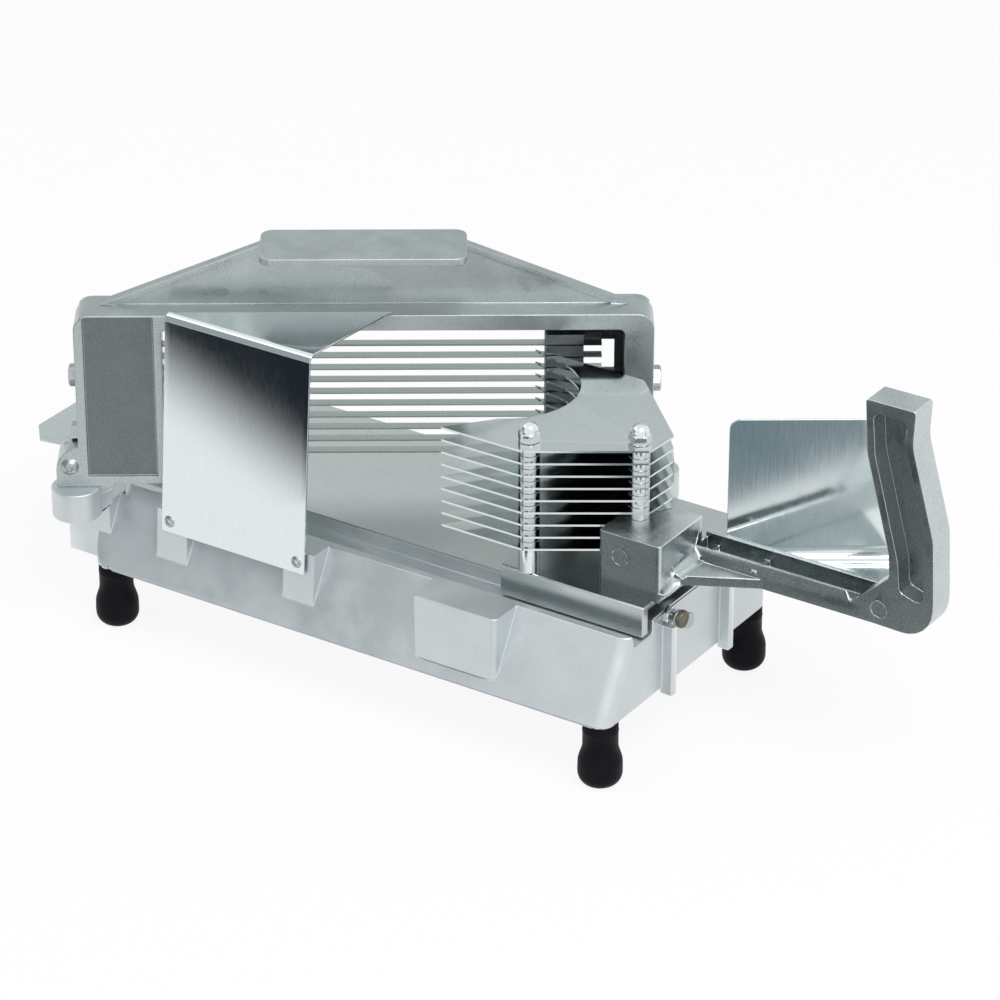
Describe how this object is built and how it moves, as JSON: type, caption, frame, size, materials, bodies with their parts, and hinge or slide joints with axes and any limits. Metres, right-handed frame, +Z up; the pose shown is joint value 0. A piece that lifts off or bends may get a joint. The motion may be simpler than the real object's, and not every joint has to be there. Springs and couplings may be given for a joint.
{
  "type": "tomato slicer",
  "caption": "Push-through tomato slicer: cast base on rubber feet, slanted frame of horizontal blades and a sliding stack of pusher plates with an upright handle.",
  "frame": {"origin": "on the counter, under the middle of the part's bounding box", "axes": "+X along the base from the outfeed side to the handle, +Y to the back, +Z up"},
  "size_m": [0.4976, 0.1928, 0.2043],
  "materials": {
    "cast_base": "satin die casting with a fine grain",
    "cast_frame": "satin die casting with a fine grain",
    "cast_handle": "satin die casting, darker on its machined faces",
    "deck_steel": "smooth satin sheet",
    "black_rubber": "matt moulded rubber",
    "blade_steel": "ground strip with a bevelled edge",
    "polished_sheet": "mirror-polished sheet",
    "plate_steel": "polished sheet",
    "carriage_steel": "brushed plate",
    "white_plastic": "slippery white plastic",
    "chrome_parts": "bright chrome",
    "block_steel": "dark blued steel",
    "screw_steel": "bright machined steel"
  },
  "bodies": {
    "base": {"base_casting": "cast_base", "deck_sheet": "deck_steel", "outfeed_chute": "deck_steel", "chute_screws": "screw_steel", "foot_front_left": "black_rubber", "foot_front_right": "black_rubber", "foot_rear_left": "black_rubber", "foot_rear_right": "black_rubber", "foot_studs": "screw_steel", "blade_frame": "cast_frame", "frame_bolts": "screw_steel", "ear_screws": "screw_steel", "blade_block_left": "block_steel", "blade_block_right": "block_steel", "blade_pins": "screw_steel", "tension_bolts": "screw_steel", "front_guard": "polished_sheet", "front_guard_screws": "screw_steel", "blade_1": "blade_steel", "blade_2": "blade_steel", "blade_3": "blade_steel", "blade_4": "blade_steel", "blade_5": "blade_steel", "blade_6": "blade_steel", "blade_7": "blade_steel", "blade_8": "blade_steel", "blade_9": "blade_steel", "blade_10": "blade_steel", "end_bolt": "screw_steel", "end_bolt_nut": "screw_steel", "lock_tab": "screw_steel"},
    "pusher": {"carriage": "carriage_steel", "glide_strips": "white_plastic", "glide_shoe": "white_plastic", "rod_left": "chrome_parts", "rod_right": "chrome_parts", "spacers_left": "chrome_parts", "spacers_right": "chrome_parts", "acorn_nuts": "chrome_parts", "pusher_plate_1": "plate_steel", "pusher_plate_2": "plate_steel", "pusher_plate_3": "plate_steel", "pusher_plate_4": "plate_steel", "pusher_plate_5": "plate_steel", "pusher_plate_6": "plate_steel", "pusher_plate_7": "plate_steel", "pusher_plate_8": "plate_steel", "pusher_plate_9": "plate_steel", "handle_casting": "cast_handle", "handle_bolts": "screw_steel", "knuckle_guard": "polished_sheet", "knuckle_guard_screws": "screw_steel"}
  },
  "joints": [
    {"name": "pusher_slide", "type": "slide", "parent": "base", "child": "pusher", "axis": [-1, 0, 0], "range_m": [0, 0.155]}
  ]
}
